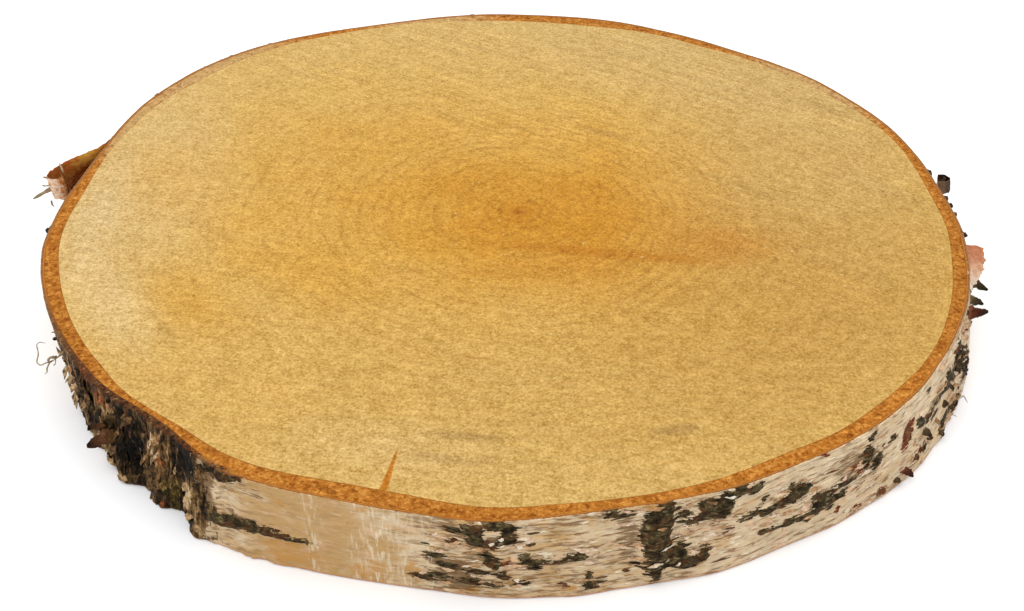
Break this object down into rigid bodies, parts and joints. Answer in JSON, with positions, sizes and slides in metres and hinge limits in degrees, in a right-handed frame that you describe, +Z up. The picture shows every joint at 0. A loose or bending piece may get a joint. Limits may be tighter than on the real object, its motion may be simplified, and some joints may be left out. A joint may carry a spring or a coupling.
{
  "type": "birch wood slice",
  "caption": "Flat round cross-section of a birch log with sawn faces, inner bark and peeling white outer bark, for use as a board, stand or display base.",
  "frame": {"origin": "on the lower sawn face, under the middle of the slice", "axes": "+Z up out of the upper sawn face, -Y towards the side that the picture shows in front, +X to its right"},
  "size_m": [0.2822, 0.2735, 0.025],
  "materials": {
    "sawn_wood": "dry sawn end grain, pale tan with a golden orange heart, fine growth rings and saw marks",
    "inner_bark": "matt, granular, orange brown",
    "outer_bark": "papery cream to tan birch bark with raised olive black cork, rough dark bark on one side, satin"
  },
  "bodies": {
    "root": {"wood_disc": "sawn_wood", "inner_bark": "inner_bark", "outer_bark": "outer_bark"}
  },
  "joints": []
}
